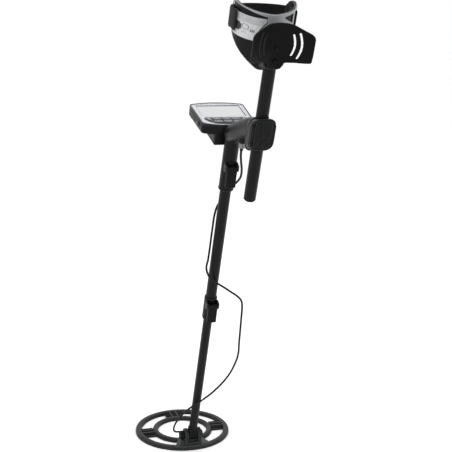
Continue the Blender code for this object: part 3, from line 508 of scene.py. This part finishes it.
TUBE = drawn_tube("black_tube", (0.004, 0.0042, 0.0045), 0.36)
RUBBER = soft_rubber("black_rubber", (0.0055, 0.0055, 0.006), 0.62)
JACKET = soft_rubber("cable_jacket", (0.006, 0.006, 0.0065), 0.45, 0.01)
SILVER = painted("silver_panel", (0.31, 0.32, 0.35), 0.4)
TRIM = painted("grey_trim", (0.24, 0.25, 0.262), 0.45)
DULL_STEEL = metal("dull_steel", (0.2, 0.2, 0.21), 0.42)
DARK_STEEL = metal("dark_steel", (0.02, 0.02, 0.022), 0.5)
COPPER = metal("copper", (0.72, 0.36, 0.18), 0.35)
WEBBING = woven("black_webbing", (0.009, 0.009, 0.0098), 0.75, SHAFT_TURN, 1.6, 0.25)
KNIT = woven("black_knit", (0.0075, 0.0075, 0.0082), 0.9, SHAFT_TURN, 1.1, 0.2)


def display_look():
    """Grey liquid crystal under its window: faint clouding and a very fine texture."""
    look = Look("display", (0.245, 0.26, 0.263), 0.25, specular=0.3)
    look.shader.inputs["Coat Weight"].default_value = 0.4
    look.shader.inputs["Coat Roughness"].default_value = 0.08
    look.mottled(look.noise(14, 2), 0.96, 1.05)
    return look.bumped(look.noise(400, 2), 0.001).material


def key_look(name, colour):
    look = Look(name, colour, 0.5, specular=0.35)
    look.mottled(look.noise(200, 3), 0.9, 1.1)
    return look.bumped(look.noise(1500, 2), 0.01).material


DISPLAY = display_look()
KEY = key_look("key_cap", (0.1, 0.105, 0.115))
KEY_DARK = key_look("key_surround", (0.03, 0.032, 0.036))
MARK = key_look("key_mark", (0.42, 0.44, 0.47))


def label_look():
    """Silver foil, clouded and finely grained. Its print is pieces of its own."""
    look = Look("cuff_label", (0.37, 0.376, 0.386), 0.4, metallic=0.1)
    look.mottled(look.noise(260, 4), 0.8, 1.15).rough(look.noise(60, 3), 0.06)
    return look.bumped(look.noise(1200, 2), 0.01).material


LABEL = label_look()
LABEL_DARK = key_look("label_print", (0.03, 0.032, 0.035))
LABEL_PALE = key_look("label_pale", (0.48, 0.488, 0.495))


def keep(nodes, look):
    """CAD nodes whose shape is right stay, with a better material."""
    for name in nodes:
        data = NODES[name].data
        data.materials.clear()
        data.materials.append(look)
        data.shade_smooth()
        data.set_sharp_from_angle(angle=math.radians(32))


# Camera, floor and light ----------------------------------------------------------------------


def make_camera():
    data = bpy.data.cameras.new("camera")
    data.lens, data.sensor_width = CAMERA_LENS, 36
    data.clip_end = 100
    camera = add("camera", data)
    turn = Matrix.Rotation(-CAMERA_YAW, 4, "Z") @ Matrix.Rotation(math.pi / 2 + CAMERA_PITCH, 4, "X")
    camera.matrix_world = Matrix.Translation(CAMERA_AT) @ turn @ Matrix.Rotation(CAMERA_ROLL, 4, "Z")
    bpy.context.scene.camera = camera


def soft_light(name, at, towards, size, power):
    data = bpy.data.lights.new(name, "AREA")
    data.size, data.energy = size, power
    light = add(name, data)
    light.location = at
    light.rotation_euler = (Vector(towards) - Vector(at)).to_track_quat("-Z", "Y").to_euler()


FLOOR_GLOW = 0.12  # brings the floor's lit white up to the surround's


def make_stage():
    """A white floor under the coil, an even white surround and three soft lights."""
    floor_z = span("coil_skid", Matrix.Identity(4))[0].z * MM - 0.0004
    bpy.ops.mesh.primitive_plane_add(size=60, location=(0, 0, floor_z))
    floor = bpy.context.object
    floor.name = "floor"
    look = Look("floor", (0.9, 0.9, 0.9), 0.9, specular=0.1)
    look.mottled(look.noise(2, 2), 0.995, 1.005)
    look.shader.inputs["Emission Color"].default_value = (1, 1, 1, 1)
    look.shader.inputs["Emission Strength"].default_value = FLOOR_GLOW
    floor.data.materials.append(look.material)
    world = bpy.data.worlds.new("surround")
    world.use_nodes = True
    world.node_tree.nodes["Background"].inputs["Color"].default_value = (1, 1, 1, 1)
    world.node_tree.nodes["Background"].inputs["Strength"].default_value = 1.0
    bpy.context.scene.world = world
    bpy.context.scene.view_settings.view_transform = "Standard"
    soft_light("key", (-2.2, -1.6, 2.4), (0, 0.1, -0.1), 1.6, 34)
    soft_light("fill", (2.4, -1.2, 1.2), (0, 0.1, -0.2), 1.8, 14)
    soft_light("back", (0.6, 2.6, 1.8), (0, 0.1, -0.1), 1.6, 16)


# Cable ----------------------------------------------------------------------------------------


def make_cable(strain_relief):
    """The coil's cable in its three stretches, each drawn as a fixed tube along its route."""
    plug = [NODES["cable_plug"], NODES["plug_ring"]]
    stretches = (
        ("upper", UPPER_ROUTE, "middle_slide", (0, 0, 640), (0, 0, 480), plug),
        ("loop", LOOP_ROUTE, "lower_slide", (0, 0, 440), (0, 0, 130), []),
        ("tail", TAIL_ROUTE, "coil_tilt", (0, 0, 60), (-16, 19, -10), [strain_relief]),
    )
    for name, route, joint, start, end, on_it in stretches:
        points = smooth_route(route, 5)
        shape = tube(points, [CABLE_RADIUS] * len(points))
        cable = piece(f"coil_cable_{name}", shape, SHAFT, JACKET, None, 0)
        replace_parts(cable, f"cable_{name}")
        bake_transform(cable)


# Shaft, locks and tilt joint --------------------------------------------------------------------


def make_shaft_looks():
    keep(["middle_tube", "lower_tube", "arm_tube"], TUBE)
    keep(["upper_lock_pin", "lower_lock_pin"], DARK_STEEL)
    keep(["tube_cap", "clamp_seal", "washer_left", "washer_right"], RUBBER)
    collar = copy_of("lower_lock_collar", SHAFT)
    moulded("lock_collar", collar, SHAFT, 0.7, 5, BLACK, "middle", "lower_lock_collar")
    for name, body in (("upper", "upper_lever"), ("lower", "lower_lever")):
        node = f"{name}_lock_lever"
        low, high = span(node, SHAFT)
        shapes = [copy_of(node, SHAFT)]
        for step in range(4):  # thumb ridges across the free end
            z = low.z + 3.2 + 2.6 * step
            shapes.append(rod(0.9, low.x + 3, high.x - 3, 12, "X", (0, low.y + 0.9 + 0.12 * step, z)))
        moulded(f"{name}_cam_lever", shapes, SHAFT, 0.5, 4, MATT, body, node)


# Search coil ----------------------------------------------------------------------------------

COIL_Y, COIL_Z = 87, -30  # centre of its underside, in the coil frame
OUTER_RING, INNER_RING = (107.5, 94.4), (67.8, 56.0)
RING_TOP, PLATE_TOP, CHANNEL_TOP = 9, 10.5, 6.8
SECTOR_HALF = 22.5
RIBS_AT, RIB_HALF = (-7, 7), 1.15  # on each spoke
WEB_STRIPS = ((-13.4, 4.6), (0, 5.2), (13.4, 4.6))  # middle and half width, beside and between the ribs


def make_coil_looks():
    """The housing, its mounting plate, the dark and light strips of its spokes, and its hinge."""
    centre = COIL @ Matrix.Translation(Vector((0, COIL_Y, COIL_Z)) * MM)
    shell = copy_of("coil_shell", centre)
    moulded("coil_housing", shell, centre, 1.0, 5, SHELL, "coil", "coil_shell")
    keep(["coil_skid"], PLAIN)
    keep(["transmit_winding", "receive_winding"], COPPER)

    outer, inner = OUTER_RING[0] - 1, INNER_RING[1] + 1.2
    edge = (-90 - SECTOR_HALF + 7, -90 + SECTOR_HALF - 1)
    outline = arc((0, 0), outer, *edge, 24) + arc((0, 0), inner, *edge, 20)[::-1]
    plate = slab([rounded(outline, 1.2, 2)], PLATE_TOP - 0.6, PLATE_TOP + 0.5, bevel=0.4)
    piece("mounting_plate", plate, centre, PLATE, "coil")
    # A lighter strip along the plate's left edge: a painted highlight on that edge
    line = (-90 - SECTOR_HALF + 3.2, -90 - SECTOR_HALF + 5)
    outline = arc((0, 0), outer, *line, 3) + arc((0, 0), inner, *line, 3)[::-1]
    highlight_strip = slab([outline], PLATE_TOP - 0.6, PLATE_TOP + 0.25, bevel=0.2)
    piece("plate_edge_highlight", highlight_strip, centre, RIB, "coil")
    caps, webs = [], []
    starts, ends = INNER_RING[0] - 0.5, OUTER_RING[1] + 0.5
    for turn in (0, 90, 180):
        spin = Matrix.Rotation(math.radians(turn), 4, "Z")
        for side in RIBS_AT:
            low = (starts, side - RIB_HALF, RING_TOP - 1.6)
            high = (ends, side + RIB_HALF, RING_TOP - 0.35)
            caps.append(moved(block(low, high, 0.5, 2), spin))
        for side, half in WEB_STRIPS:
            low = (starts, side - half, CHANNEL_TOP - 1)
            high = (ends - 1.5, side + half, CHANNEL_TOP + 0.25)
            webs.append(moved(block(low, high, 0.2, 1), spin))
    piece("rib_tops", caps, centre, RIB, "coil")
    piece("web_inlays", webs, centre, WEB, "coil")

    yoke = copy_of("tilt_yoke", SHAFT)
    moulded("tilt_fork", yoke, SHAFT, 0.7, 4, MATT, "lower", "tilt_yoke")
    keep(["tilt_bolt"], PLAIN)
    moulded("tilt_hand_knob", copy_of("tilt_knob", COIL), COIL, 0.5, 4, MATT, "knob", "tilt_knob")

    low, high = span("cable_gland", COIL)
    foot = ((low.x + high.x) / 2, (low.y + high.y) / 2, low.z)
    tall, wide = high.z - low.z, (high.x - low.x) / 2
    profile = [(2.45, tall - 1.6), (2.45, tall), (3, tall)]
    for step in range(4):  # strain relief rings
        z = tall - 1 - 1.1 * step
        profile += [(3.2 + 0.2 * step, z), (3.2 + 0.2 * step, z - 0.5), (2.8 + 0.22 * step, z - 0.6)]
    profile += [(wide - 0.4, 3.9), (wide, 3.4), (wide, 0), (0, 0), (0, tall - 1.6)]
    shape = turned(profile, 32, centre=foot, ring=False)
    gland = piece("strain_relief", shape, COIL, RUBBER, "coil")
    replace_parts(gland, "cable_gland")
    return gland


# Handle, clamp and connector --------------------------------------------------------------------


GRIP_ROUTE = [(0, -20, 756.7), (0, -36, 768), (0, -62, 786), (0, -88, 802), (0, -103, 809.8)]
GRIP_RADIUS, GRIP_TAPER, GRIP_ROLL = 18.3, 2.2, 1.4


def make_handle_looks():
    handle = copy_of("handle_frame", SHAFT)
    end = span("handle_frame", SHAFT)[0].z  # of the stem, which carries a thin lip
    lip = turned([(12, end + 3.2), (14.9, end + 3), (14.9, end + 0.4), (14.4, end), (12, end)], 64)
    moulded("handle_moulding", [handle, lip], SHAFT, 1.0, 7, BLACK, "handle", "handle_frame")

    # Soft overmould on the grip, a little proud of the frame, with rolled ends
    route = smooth_route(GRIP_ROUTE, 2.5)
    radii = []
    for i in range(len(route)):
        share = i / (len(route) - 1)
        roll = min(1, min(share, 1 - share) * 14)
        radii.append(GRIP_RADIUS - GRIP_TAPER * share - GRIP_ROLL * (1 - roll) ** 2)
    piece("grip_sleeve", tube(route, radii, 12), SHAFT, GRIP, "handle", 0)

    # Dark slot in the back of the stem, above the lock lever
    slot = slab([rectangle((-1.6, 1.6), (688, 708), 1.5)], -14.15, -12.5, "Y", 0.2)
    piece("stem_slot", slot, SHAFT, RUBBER, "handle")


def make_clamp_looks():
    """The cover's face carries two low raised panels, a groove between them and a round boss."""
    face = span("clamp_cover", SHAFT)[0].y
    left = [
        (-15.5, 840, 4), (-8, 841.5, 2), (-5.6, 811, 6), (-7, 802, 4), (-10.5, 794, 4), (-15.5, 792, 4),
    ]
    right = [
        (-4.5, 839, 2), (13.1, 840.1, 4), (14.4, 828.4, 4), (14.8, 812.2, 4), (10, 806.9, 3), (0.7, 807.1, 3),
        (-2.6, 812, 3),
    ]
    shapes = [copy_of("clamp_cover", SHAFT)]
    for outline in (left, right):
        shapes.append(slab([rounded(outline, 3)], face - 1.5, face + 1, "Y"))
    boss = turned([(0, 1.6), (6.6, 1.6), (7.4, 0.8), (7.4, -1), (0, -1)], 48, ring=False)
    place = Matrix.Translation((6.7, face, 797.7)) @ Matrix.Rotation(math.pi / 2, 4, "X")
    shapes.append(moved(boss, place))
    moulded("clamp_plate", shapes, SHAFT, 0.6, 2, BLACK, "handle", "clamp_cover")
    keep([f"clamp_screw_{number}" for number in range(1, 5)], DARK_STEEL)
    keep(["cable_socket", "plug_ring"], DULL_STEEL)
    keep(["cable_plug"], PLAIN)


# Control box ----------------------------------------------------------------------------------

BOX_HALF_X, BOX_BACK, BOX_FRONT, BOX_BULGE_BACK, BOX_BULGE_FRONT = 53.5, 50, -42, 7.5, -10.5
BEZEL_T = 4
DISPLAY_HALF_X, DISPLAY_Y = 43.5, (-9, 43)
KEY_FIELD = [
    (-44, -18.5, 3), (-37, -14, 3), (37, -14, 3), (44, -18.5, 3), (33, -39, 6), (12, -47.5, 6),
    (-12, -47.5, 6), (-33, -39, 6),
]


def box_outline(inset):
    """Outline of the control box, bowed at its far and near edges."""
    x, back, front = BOX_HALF_X - inset, BOX_BACK - inset, BOX_FRONT + inset
    corners = [(-x, back - 1, 5), (-x + 2, front, 6)]
    for step in range(1, 6):
        t = step / 6
        corners.append((-x + 2 * x * t, front + BOX_BULGE_FRONT * math.sin(math.pi * t), 4))
    corners += [(x - 2, front, 6), (x, back - 1, 5)]
    for step in range(1, 6):
        t = step / 6
        corners.append((x - 2 * x * t, back + BOX_BULGE_BACK * math.sin(math.pi * t), 4))
    return rounded(corners, 4, 5)


def make_box_looks():
    moulded("box_tray", copy_of("box_lower", BOX), BOX, 1.0, 4, BLACK, "handle", "box_lower")
    screen = rectangle((-DISPLAY_HALF_X, DISPLAY_HALF_X), DISPLAY_Y, 3)
    field = rounded(KEY_FIELD, 3)
    rim = slab([box_outline(0.1), box_outline(2.2)], -BEZEL_T, 0.1, bevel=0.7, segments=3)
    bed = slab([box_outline(2.0), screen, field], -BEZEL_T, -0.9)
    rim = piece("box_rim", [rim, bed], BOX, BLACK, "handle")
    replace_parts(rim, "box_bezel")
    opening = rectangle((-DISPLAY_HALF_X + 0.4, DISPLAY_HALF_X - 0.4), DISPLAY_Y, 3)
    panel = slab([box_outline(2.3), opening, field], -1.2, -0.25, bevel=0.25)
    piece("silver_panel", panel, BOX, SILVER, "handle")
    outside, inside = rectangle((-43.3, 43.3), (-8.8, 42.8), 3), rectangle((-42.2, 42.2), (-7.7, 41.7), 2.2)
    gasket = slab([outside, inside], -1.15, -0.7, bevel=0.15)
    piece("display_gasket", gasket, BOX, KEY_DARK, "handle")
    keep(["display_window"], DISPLAY)
    keep(["display_module", "main_board", "battery_1", "battery_2", "speaker"], DARK_STEEL)
    keep(["key_mat"], KEY_DARK)
    keep(["headphone_jack"], DULL_STEEL)
    moulded("bay_door", copy_of("battery_door", BOX), BOX, 0.6, 3, BLACK, "door", "battery_door")
    make_keys()


def make_keys():
    """Six keys with a bar on each, and a three-cornered key with an arrow on either side."""
    for node in [f"key_{number}" for number in range(1, 7)]:
        low, high = span(node, BOX)
        outline = rectangle((low.x, high.x), (low.y, high.y), 2)
        shape = slab([outline], low.z, high.z, bevel=0.8, segments=3)
        cap = piece(f"{node}_cap", shape, BOX, KEY, f"button_{node[4:]}")
        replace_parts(cap, node)
        middle = (low + high) / 2
        bar = rectangle((middle.x - 2.4, middle.x + 2.4), (middle.y - 0.45, middle.y + 0.45), 0.4)
        mark = slab([bar], high.z - 0.2, high.z + 0.06)
        piece(f"{node}_mark", mark, BOX, MARK, f"button_{node[4:]}")
    for node, side in (("key_left", -1), ("key_right", 1)):
        low, high = span(node, BOX)
        corners = [(side * 41.5, -20, 1.6), (side * 30.5, -17, 1.6), (side * 30.5, -33, 1.6)]
        shape = slab([rounded(corners, 2)], low.z, high.z, bevel=0.7, segments=3)
        cap = piece(f"{node}_cap", shape, BOX, KEY, f"button_{node[4:]}")
        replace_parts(cap, node)
        arrow = [(side * 37.5, -22.6, 0.3), (side * 33, -20.2, 0.3), (side * 33, -25.4, 0.3)]
        mark = slab([rounded(arrow, 0.3)], high.z - 0.2, high.z + 0.06)
        piece(f"{node}_mark", mark, BOX, MARK, f"button_{node[4:]}")


# Arm support ----------------------------------------------------------------------------------


def cuff_point(turn, radius):
    """A point of the cradle's U, `turn` degrees round from the tube; past 90 it runs straight."""
    side = math.copysign(1, turn)
    bend = math.radians(min(abs(turn), 90))
    point = Vector((side * radius * math.sin(bend), CUFF_Y - radius * math.cos(bend)))
    past = math.radians(max(abs(turn) - 90, 0)) * CUFF_R
    return point + Vector((-side * 0.12 * past, past))


def tip_drop(turn, size):
    """How far an edge draws in towards the tip of a wing, as a quarter round."""
    share = min(max((abs(turn) - TIP_START) / (CUFF_END - TIP_START), 0), 1)
    return size * (1 - math.sqrt(1 - share**2))


def cuff_bottom(turn):
    return CUFF_LOW + 0.56 * max(0, min(abs(turn), TIP_START) - 20) + tip_drop(turn, 14)


def cuff_top(turn):
    return CUFF_HIGH + 0.075 * min(abs(turn), TIP_START) - tip_drop(turn, 19)


def trim_bottom(turn):
    """The rim band is deep on the right wing and thins out along the left one."""
    depth = 6.6 - 0.09 * abs(turn) if turn < 0 else 6.6 - 0.045 * turn
    return cuff_top(turn) - max(depth, 1.8)


def label_bottom(turn):
    """Level along the wing, then climbing beside the stand plate."""
    return 965 + 7.7 * math.sqrt(max(0, turn + 31))


def wall_section(turn, inner, outer, bottom, top):
    """One section of a wall round the cuff, with rounded top and bottom edges."""
    middle, half = (inner + outer) / 2, (outer - inner) / 2
    edge = min(half, (top - bottom) / 2)
    arc_steps, rows = 6, 6
    upper = [math.pi * k / arc_steps for k in range(arc_steps + 1)]
    heights = [top - edge - (top - bottom - 2 * edge) * k / rows for k in range(1, rows)]
    ring = [(middle - half * math.cos(t), top - edge + edge * math.sin(t)) for t in upper]
    ring += [(outer, height) for height in heights]
    ring += [(middle + half * math.cos(t), bottom + edge - edge * math.sin(t)) for t in upper]
    ring += [(inner, height) for height in heights[::-1]]
    points = []
    for radius, height in ring:
        point = cuff_point(turn, radius)
        points.append((point.x, point.y, height))
    return points


def turns_of(start, end, steps):
    return [start + (end - start) * i / steps for i in range(steps + 1)]


def wall(start, end, inner, outer, bottom, top, steps):
    """A wall round part of the cuff; bottom and top are functions of the turn."""
    sections = [wall_section(t, inner, outer, bottom(t), top(t)) for t in turns_of(start, end, steps)]
    return loft(sections)


def make_arm_looks():
    shell = wall(-CUFF_END, CUFF_END, CUFF_R - CUFF_WALL, CUFF_R - 0.1, cuff_bottom, cuff_top, 110)
    shapes = [copy_of("cuff_shell", SHAFT), shell]
    moulded("cuff_cradle", shapes, SHAFT, 0.9, 4, BLACK, "arm", "cuff_shell")
    make_trim()
    make_label()
    make_liner()
    make_strap()
    make_stand()


def make_trim():
    """Grey rim band round the cuff's top edge, the bridge over the hub and the braces."""
    inner, outer = CUFF_R + 0.25, CUFF_R + 2.3
    shapes = [
        wall(-CUFF_END, CUFF_END, inner, outer, trim_bottom, lambda t: cuff_top(t) + 0.5, 100),
        wall(-12, 22, inner, outer, lambda t: 988, lambda t: cuff_top(t) - 1, 20),
        wall(-29, -11, inner, outer, lambda t: label_bottom(t) - 8.5, lambda t: label_bottom(t) - 2.2, 20),
        wall(20, 52, inner, outer, lambda t: 997 - 0.4 * (t - 22), lambda t: 1004.5 - 0.45 * (t - 22), 24),
        wall(46, 52, inner, outer, lambda t: 990, lambda t: cuff_top(t) - 1, 6),
    ]
    moulded("cuff_rim", shapes, SHAFT, 0.5, 3, TRIM, "arm", "cuff_trim")


def patch(start, end, bottom, top, radius, thick=0.25, steps=16):
    """A thin decal on the cuff's outside; bottom and top are heights or functions of the turn."""
    rings = []
    for turn in turns_of(start, end, steps):
        low = bottom(turn) if callable(bottom) else bottom
        high = top(turn) if callable(top) else top
        corners = []
        for r, z in ((radius, low), (radius + thick, low), (radius + thick, high), (radius, high)):
            point = cuff_point(turn, r)
            corners.append((point.x, point.y, z))
        rings.append(corners)
    return loft(rings)


def make_label():
    """Silver label on the left wing. Its print is an abstract layout without lettering."""
    face = CUFF_R + 1.1
    plate = patch(-89, -13, label_bottom, 1003.4, CUFF_R + GAP, 0.8, 60)
    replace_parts(piece("cuff_label_plate", plate, SHAFT, LABEL, "arm"), "cuff_label")
    field = patch(-88.5, -21.5, lambda t: label_bottom(t) + 0.6, 991.3, face, 0.12, 50)
    piece("label_field", field, SHAFT, LABEL_PALE, "arm")
    ink = face + 0.12
    dark = [patch(-87.5, -66, 975, 989, ink, 0.1), patch(-66, -62, 978, 986.5, ink, 0.1, 4)]
    for step in range(3):  # fine rules under the block and beside it
        dark.append(patch(-60 + 3.6 * step, -58 + 3.6 * step, 974.6, 975.3, ink, 0.1, 3))
    for row in range(2):
        for step in range(3):
            start, low = -86 + 3.4 * step, 971.4 - 3 * row
            dark.append(patch(start, start + 2.2, low, low + 0.6, ink, 0.1, 3))
    for step in range(32):  # an open oval
        turn = math.tau * step / 32
        at, z = -53 + 7.4 * math.cos(turn), 984.5 + 4.2 * math.sin(turn)
        dark.append(patch(at - 0.8, at + 0.8, z - 0.3, z + 0.3, ink, 0.1, 2))
    for at in (-41, -37.6, -34.4):  # a small mark of three bars
        dark.append(patch(at - 0.9, at + 0.9, 978.2, 982.2, ink, 0.1, 2))
    piece("label_print", dark, SHAFT, LABEL_DARK, "arm")


def make_liner():
    """Foam pad inside the cradle: quilted channels, crowned between them, rolled at its ends."""
    reach = 107
    seams = [-66, -33, 0, 33, 66]
    back = CUFF_R - CUFF_WALL - GAP
    sections = []
    for turn in turns_of(-reach, reach, 170):
        dip = sum(math.exp(-(((turn - seam) / 1.6) ** 2)) for seam in seams)
        end = min(1, (reach - abs(turn)) / 5)
        thick = (4.6 - 1.7 * min(dip, 1)) * (0.45 + 0.55 * math.sqrt(end))
        sections.append(wall_section(turn, back - thick, back, cuff_bottom(turn) + 12, cuff_top(turn) - 5))
    liner = piece("cuff_pad", loft(sections), SHAFT, KNIT, "arm", 0)
    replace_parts(liner, "cuff_liner")


STRAP_R, STRAP_X, STRAP_RISE = 54, -0.5, 38
STRAP_OPEN_Y = CUFF_Y + 9.4  # where it leaves the wings for the open side
STRAP_Z, STRAP_LIFT, STRAP_T = (962, 997), 9, 1.6


def make_strap():
    """Webbing round the outside of both wings and across the cradle's open side."""
    left = [Vector(p) for p in arc((STRAP_X, CUFF_Y), STRAP_R, 196, 180, 8)]
    over = []
    for x, y in arc((0, 0), 1, 180, 0, 60):
        over.append(Vector((STRAP_X + STRAP_R * x, STRAP_OPEN_Y + STRAP_RISE * y)))
    right = [Vector(p) for p in arc((STRAP_X, CUFF_Y), STRAP_R, 0, -16, 8)]
    route = left + over + right
    far = STRAP_OPEN_Y + STRAP_RISE
    half = (STRAP_Z[1] - STRAP_Z[0]) / 2
    rings, middles = [], []
    for i, point in enumerate(route):
        along = route[min(i + 1, len(route) - 1)] - route[max(i - 1, 0)]
        inwards = Vector((along.y, -along.x)).normalized()
        lift = STRAP_LIFT * min(1, (far - point.y) / (far - CUFF_Y))
        middles.append(Vector((*point, STRAP_Z[0] + half + lift)))
        ring = []
        for k in range(12):
            t = math.tau * k / 12
            across = STRAP_T / 2 * (1 - math.copysign(abs(math.cos(t)) ** 0.6, math.cos(t)))
            up = half * math.copysign(abs(math.sin(t)) ** 0.35, math.sin(t))
            place = point + inwards * across
            ring.append((place.x, place.y, middles[-1].z + up))
        rings.append(ring)
    strap = piece("arm_strap", loft(rings), SHAFT, WEBBING, "arm", 0)
    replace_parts(strap, "cuff_strap")
    stitches = []
    for at in (12, len(route) - 13):  # box stitching where the webbing is sewn back on itself
        along = (route[at + 1] - route[at - 1]).normalized()
        x, y = route[at] + Vector((-along.y, along.x)) * 0.15
        for step in range(9):
            z = middles[at].z + (half - 4) * (step / 4 - 1)
            stitches.append(block((x - 0.3, y - 0.3, z - 1.1), (x + 0.3, y + 0.3, z + 1.1), 0.2, 1))
    piece("strap_stitches", stitches, SHAFT, LABEL_DARK, "arm")


def make_stand():
    """The bowed plate, with a low round boss about its upper screw."""
    boss = turned([(4.4, 0), (5.6, 0), (5.6, 1.6), (4.4, 1.6)], 40)
    place = Matrix.Translation((0, -146.9, 968)) @ Matrix.Rotation(math.pi / 2, 4, "X")
    shapes = [copy_of("stand_plate", SHAFT), moved(boss, place)]
    moulded("stand_wings", shapes, SHAFT, 0.7, 3, STAND, "arm", "stand_plate")
    keep(["stand_screw_1", "stand_screw_2"], PLAIN)


make_camera()
make_stage()
make_cable(make_coil_looks())
make_shaft_looks()
make_handle_looks()
make_clamp_looks()
make_box_looks()
make_arm_looks()
